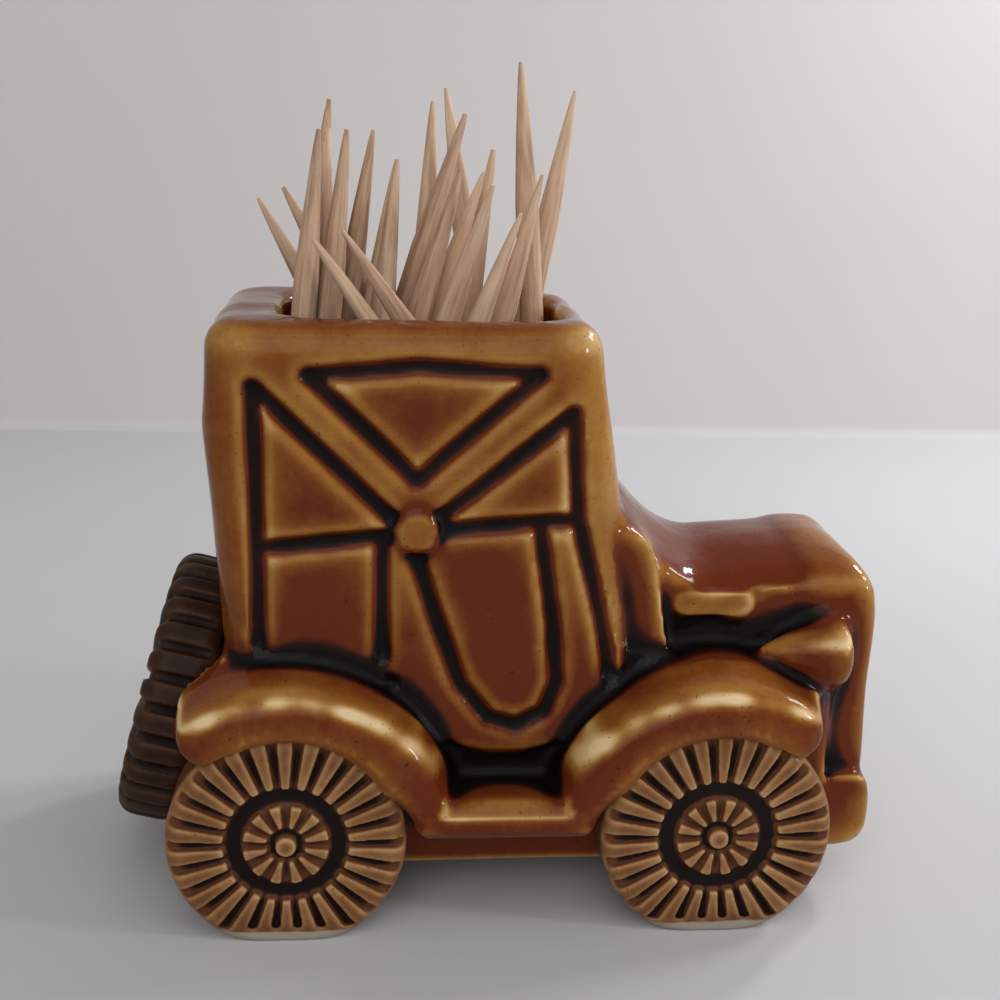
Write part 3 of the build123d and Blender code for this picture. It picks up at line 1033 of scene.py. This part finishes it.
    def run_down(self, piece: bpy.types.Object, relief: Relief, values: np.ndarray) -> np.ndarray:
        """Thin the glaze over crests and bosses, thicken it on the rim, and paint crest highlights,
        corner light and bonnet shade.

        Args:
            piece: The piece.
            relief: The field.
            values: Its values.

        Returns:
            The changed values.
        """
        marks = self.marks(piece)
        away = np.where(marks[Along.SIDE] < self.boss_out, np.inf, marks[Along.BOSS])
        boss = np.exp(-((away / self.boss_thin_radius) ** 4))
        values = values * (1 - boss)
        if relief is Relief.POOL:
            return np.where(values < 0, values * (1 - self.drained_top.share(marks)), values)
        if relief is not Relief.EDGE:
            return values
        ring = bell(away, self.boss_ring, self.boss_ring_width)
        values = values + self.boss_thin * boss - self.boss_ring_depth * ring
        wing = self.wings.share(marks)
        hold = 1 + wing * (self.wing_hold.share(marks) - 1)
        values = np.where(values > 0, values * hold, values)
        # The bonnet's top is darkened as painted shade; the rim's top is darkened as thicker glaze.
        thick = values - self.thick_rim.share(marks) - self.thick_bonnet.share(marks)
        thick = np.maximum(thick, np.minimum(values, 0.0))
        pillar = bell(marks[Along.LENGTH], self.pillar_at, self.pillar_width)
        raised = self.thin_bumper.share(marks) + self.thin_pillar.share(marks) * pillar
        # The forward-facing corners' share is painted light; the strakes' share is thin glaze.
        raised = raised + self.thin_corner.share(marks) + self.thin_strakes.share(marks)
        raised = np.where(values > self.hollow_limit, raised, 0.0)
        faces = np.minimum(wing * self.wing_faces.share(marks), np.maximum(values, 0))
        return thick + self.crests(marks, wing) + self.thin_shell.share(marks) + raised - faces

    def crests(self, marks: Marks, wing: np.ndarray) -> np.ndarray:
        """Let the glaze run off the wings' crests in patches, with a painted highlight along them.

        Args:
            marks: The points' measures.
            wing: How much each point belongs to a wing.

        Returns:
            How much the glaze thins, with the painted highlight on the crests.
        """
        lean = marks[Along.LEAN]
        patch = 0.6 + 0.3 * np.sin(lean / 9 + marks[Along.LENGTH] / 9)
        patch = patch + 0.25 * np.sin(lean / 4.3 + marks[Along.WIDTH]) + 0.15 * np.sin(lean / 2.1)
        # The crest streak is partly thin glaze and partly a painted highlight where the lamps reflect.
        crest = self.crest_thin * wing * patch * bell(marks[Along.UP], self.crest_up, self.crest_width)
        return crest + wing * self.wing_tops.share(marks)

    def inside(self, marks: Marks) -> np.ndarray:
        """Tell which points lie on the hollow's wall, the underside or behind a wheel.

        Args:
            marks: The points' measures.

        Returns:
            True for each such point.
        """
        x, side, z = marks[Along.LENGTH], marks[Along.SIDE], marks[Along.HEIGHT]
        lean = (self.front_top[0] - self.front_low[0]) / (self.front_top[1] - self.front_low[1])
        front = self.front_low[0] + lean * (z - self.front_low[1])
        back, half, top = self.cabin_room
        cabin = (x > back) & (x < front) & (side < half) & (z < top) & (z > self.room_meets[0])
        back, half = self.low_room
        behind_nose = x < self.front_low[0]
        low = (x > back) & behind_nose & (side < half) & (z > self.floor) & (z < self.room_meets[1])
        ahead, half, top = self.nose_room
        nose = ~behind_nose & (x < ahead) & (side < half) & (z > self.floor) & (z < top)
        under = (z < self.underside[0]) & (side < self.underside[1])
        behind = (marks[Along.HUB] < self.behind_wheel[0]) & (side < self.behind_wheel[1])
        return cabin | low | nose | under | behind

    def thin_out(self, piece: bpy.types.Object) -> None:
        """Collapse most of the faces that are hardly seen.

        Args:
            piece: The piece.
        """
        hidden = self.inside(self.marks(piece))
        Bench.alone(piece)
        bpy.ops.object.mode_set(mode="EDIT")
        bpy.ops.mesh.select_mode(type="VERT")
        bpy.ops.mesh.select_all(action="DESELECT")
        bpy.ops.object.mode_set(mode="OBJECT")
        piece.data.vertices.foreach_set("select", hidden)
        bpy.ops.object.mode_set(mode="EDIT")
        bpy.ops.mesh.decimate(ratio=self.keep_share)
        bpy.ops.object.mode_set(mode="OBJECT")
        log.info("%s: %d points hardly seen", self.label, int(hidden.sum()))


@dataclass
class Toothpick:
    """One pointed pick, turned in birch."""

    number: int
    finish: bpy.types.Material
    sides: int = 28
    rings: int = 48
    taper: float = 12.0
    taper_curve: float = 0.8
    foot_tip: Tuple[float, float] = (0.26, 0.36)
    head_tip: Tuple[float, float] = (0.13, 0.2)
    facets: int = 4
    facet_depth: Tuple[float, float] = (0.95, 0.99)
    facet_twist: float = 6.0
    shape_seed: int = 100
    shade_seed: int = 400
    shade_spread: float = 0.08
    # Painted shade: each pick is painted darker towards its foot, near the holder's rim.
    low_shade: float = 0.3
    low_reach: float = 0.75
    grain_step: Tuple[float, float, float] = (0.013, 0.007, 0.11)
    crease: float = 32.0

    def build(self) -> bpy.types.Object:
        """Make the pick where its CAD node stands.

        Returns:
            The finished pick, riding on its own body.
        """
        node = "toothpick_" + str(self.number).zfill(2)
        body = "pick_" + str(self.number).zfill(2)
        joint = next(j for j in frame["joints"] if j["child"] == body)
        axis = Vector(joint["axis"]).normalized()
        solid = Bench.points(frame["nodes"][node])
        along = solid @ np.array(axis)
        middle = solid.mean(0)
        length = along.max() - along.min()
        foot = Vector(middle) + axis * float(along.min() - middle @ np.array(axis))
        radius = float(np.linalg.norm(np.cross(solid - middle, np.array(axis)), axis=1).max())
        piece = self._blank(body, length, radius)
        rows = self._whittle(Bench.points(piece), length, radius)
        grain = piece.data.attributes.new("grain", "FLOAT_VECTOR", "POINT")
        shift = rows + np.array(self.grain_step) * self.number
        grain.data.foreach_set("vector", shift.astype(np.float32).ravel())
        rng = np.random.default_rng(self.shade_seed + self.number)
        # The shade field holds a random tone for each pick, minus a painted shade that darkens it
        # towards its foot.
        low = np.clip(1 - rows[:, 2] / (self.low_reach * length), 0, 1)
        shade = rng.uniform(-self.shade_spread, self.shade_spread) - self.low_shade * low
        Bench.keep(piece, "shade", shade)
        Bench.put(piece, rows)
        turn = axis.to_track_quat("Z", "Y").to_matrix().to_4x4()
        piece.data.transform(Matrix.Translation(foot) @ turn)
        piece.data.update()
        Bench.alone(piece)
        bpy.ops.object.shade_smooth_by_angle(angle=math.radians(self.crease))
        piece.data.materials.append(self.finish)
        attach(piece, body)
        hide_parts(node)
        log.info("%s: %.1f mm", piece.name, length / MM)
        return piece

    def _blank(self, name: str, length: float, radius: float) -> bpy.types.Object:
        """Make a plain rod with its side divided into rings.

        Args:
            name: The pick's name.
            length: Its length.
            radius: Its radius.

        Returns:
            The rod, standing on the origin.
        """
        bpy.ops.object.select_all(action="DESELECT")
        bpy.ops.mesh.primitive_cylinder_add(
            vertices=self.sides,
            radius=radius,
            depth=length,
            location=(0, 0, length / 2),
            end_fill_type="NGON",
        )
        piece = bpy.context.object
        piece.name = name
        bpy.ops.object.transform_apply(location=True, rotation=True, scale=True)
        Bench.pick_edges(piece, lambda first, second: abs(first.z - second.z) > MM)
        bpy.ops.mesh.subdivide(number_cuts=self.rings)
        bpy.ops.object.mode_set(mode="OBJECT")
        return piece

    def _whittle(self, rows: np.ndarray, length: float, radius: float) -> np.ndarray:
        """Draw the ends down to points and roughen the side.

        Args:
            rows: The rod's points.
            length: The pick's length.
            radius: Its radius.

        Returns:
            The shaped points.
        """
        rng = np.random.default_rng(self.shape_seed + self.number)
        z = rows[:, 2]
        angle = np.arctan2(rows[:, 1], rows[:, 0])
        tips = (rng.uniform(*self.foot_tip), rng.uniform(*self.head_tip))
        tip = np.where(z < length / 2, tips[0], tips[1])
        share = np.clip(np.minimum(z, length - z) / (self.taper * MM), 0, 1)
        size = tip + (1 - tip) * share ** self.taper_curve
        ring = np.ones_like(size)
        for turn in rng.uniform(0, 2 * math.pi, self.facets):
            facing = np.cos(angle - turn - self.facet_twist * z)
            ring = np.minimum(ring, rng.uniform(*self.facet_depth) / np.clip(facing, 0.5, 1.0))
        coarse = 0.012 * np.sin(5 * angle + 900 * z + rng.uniform(0, 6))
        fine = 0.01 * np.sin(9 * angle - 500 * z)
        size = size * (np.minimum(ring, 1.0) + np.minimum(coarse + fine, 0.0))
        out = rows.copy()
        out[:, 0] = np.cos(angle) * radius * size
        out[:, 1] = np.sin(angle) * radius * size
        return out


@dataclass(frozen=True)
class Lamp:
    """A soft lamp that faces the holder, with places and sizes in metres."""

    name: str
    place: Tuple[float, float, float]
    size: Tuple[float, float]
    watts: float
    colour: Tuple[float, float, float] = (1.0, 1.0, 1.0)
    aim: Tuple[float, float, float] = (0.0, 0.0, 0.03)

    def hang(self) -> None:
        """Hang the lamp in its place."""
        data = bpy.data.lights.new(self.name, "AREA")
        data.shape = "RECTANGLE"
        data.size, data.size_y = self.size
        data.energy = self.watts
        data.color = self.colour
        lamp = bpy.data.objects.new(self.name, data)
        bpy.context.scene.collection.objects.link(lamp)
        place = Vector(self.place)
        turn = (Vector(self.aim) - place).to_track_quat("-Z", "Y").to_matrix().to_4x4()
        lamp.matrix_world = Matrix.Translation(place) @ turn


@dataclass
class Studio:
    """Table, wall, lamps and camera."""

    camera_at: Tuple[float, float, float] = (-12.1, -125.1, 70.2)
    yaw: float = 5.67
    pitch: float = 15.71
    roll: float = 1.84
    focal_pixels: float = 1400.0
    sensor: float = 36.0
    nearest: float = 0.005
    table_middle: float = -0.6
    table_width: float = 3.0
    wall_y: float = 0.178
    wall_height: float = 1.2
    cove: float = 0.0025
    sky: Colour = tone(236, 238, 244)
    sky_strength: float = 0.4
    lamps: Tuple[Lamp, ...] = (
        Lamp("ceiling", (0.05, -0.24, 0.42), (0.40, 0.30), 0.45, (1.0, 0.99, 0.98)),
        Lamp("window", (0.37, 0.12, 0.27), (0.08, 0.11), 0.6),
        Lamp("pane_back", (0.19, 0.143, 0.175), (0.026, 0.036), 0.2),
        Lamp("pane_front", (0.33, -0.11, 0.115), (0.03, 0.045), 0.25),
        Lamp("front_fill", (-0.10, -0.42, 0.24), (0.40, 0.32), 0.6, (1.0, 0.99, 0.97)),
    )

    def build(self) -> None:
        """Set up the whole studio."""
        self.camera()
        self.backdrop()
        self.light()
        bpy.context.scene.view_settings.view_transform = "Standard"

    def camera(self) -> None:
        """Stand the camera at the photograph's viewpoint."""
        data = bpy.data.cameras.new("camera")
        data.sensor_width = self.sensor
        data.lens = self.focal_pixels / IMAGE_SIDE * data.sensor_width
        data.clip_start = self.nearest
        eye = bpy.data.objects.new("camera", data)
        bpy.context.scene.collection.objects.link(eye)
        yaw, pitch, roll = (math.radians(a) for a in (self.yaw, self.pitch, self.roll))
        level = math.cos(pitch)
        ahead = Vector((math.sin(yaw) * level, math.cos(yaw) * level, -math.sin(pitch)))
        right = Vector((math.cos(yaw), -math.sin(yaw), 0))
        up = right.cross(ahead)
        tilted = right * math.cos(roll) + up * math.sin(roll)
        upright = up * math.cos(roll) - right * math.sin(roll)
        turn = Matrix((tilted, upright, -ahead)).transposed().to_4x4()
        eye.matrix_world = Matrix.Translation(Vector(self.camera_at) * MM) @ turn
        bpy.context.scene.camera = eye

    def backdrop(self) -> None:
        """Lay the table and raise the wall behind it in one sheet."""
        bpy.ops.object.select_all(action="DESELECT")
        bpy.ops.mesh.primitive_plane_add(size=1.0, location=(0, self.table_middle, -0.05 * MM))
        table = bpy.context.object
        table.name = "table"
        table.scale = (self.table_width, 2 * (self.wall_y - self.table_middle), 1.0)
        bpy.ops.object.transform_apply(location=True, rotation=True, scale=True)
        back = self.wall_y - MM
        Bench.pick_edges(table, lambda first, second: min(first.y, second.y) > back)
        bpy.ops.mesh.extrude_region_move(TRANSFORM_OT_translate={"value": (0, 0, self.wall_height)})
        bpy.ops.object.mode_set(mode="OBJECT")
        Bench.pick_edges(
            table, lambda first, second: min(first.y, second.y) > back and max(first.z, second.z) < MM
        )
        bpy.ops.mesh.bevel(offset=self.cove, segments=8, affect="EDGES")
        bpy.ops.object.mode_set(mode="OBJECT")
        bpy.ops.object.shade_smooth()
        table.data.materials.append(StageFinish().material())

    def light(self) -> None:
        """Light the table softly from above, from windows on the right and from the front."""
        world = bpy.data.worlds.new("room")
        world.use_nodes = True
        sky = world.node_tree.nodes["Background"]
        sky.inputs["Color"].default_value = self.sky
        sky.inputs["Strength"].default_value = self.sky_strength
        bpy.context.scene.world = world
        for lamp in self.lamps:
            lamp.hang()


def main() -> None:
    """Build the studio, the fired holder and its toothpicks."""
    logging.basicConfig(level=logging.INFO, format="%(name)s %(message)s")
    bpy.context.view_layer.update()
    Studio().build()
    glaze = BODY_GLAZE.material()
    wheel_glaze = WHEEL_GLAZE.material()
    shaded_spare_glaze = SHADED_SPARE_GLAZE.material()
    CarBody("body", "car_body", glaze, voxel=0.38).build()
    fine = (0.3, 0.8, 1.8)
    for end in ("rear", "front"):
        for side in ("right", "left"):
            node = "wheel_" + end + "_" + side
            label = "road_" + node
            GlazedPiece(node, label, wheel_glaze, voxel=0.15, soft=0.3, spans=fine, gain=1.6).build()
    GlazedPiece(
        "spare_wheel", "spare_tyre", shaded_spare_glaze, voxel=0.18, soft=0.4, spans=fine, gain=1.5
    ).build()
    birch = PickFinish().material()
    for number in range(1, PICKS + 1):
        Toothpick(number, birch).build()


if __name__ == "__main__":
    main()
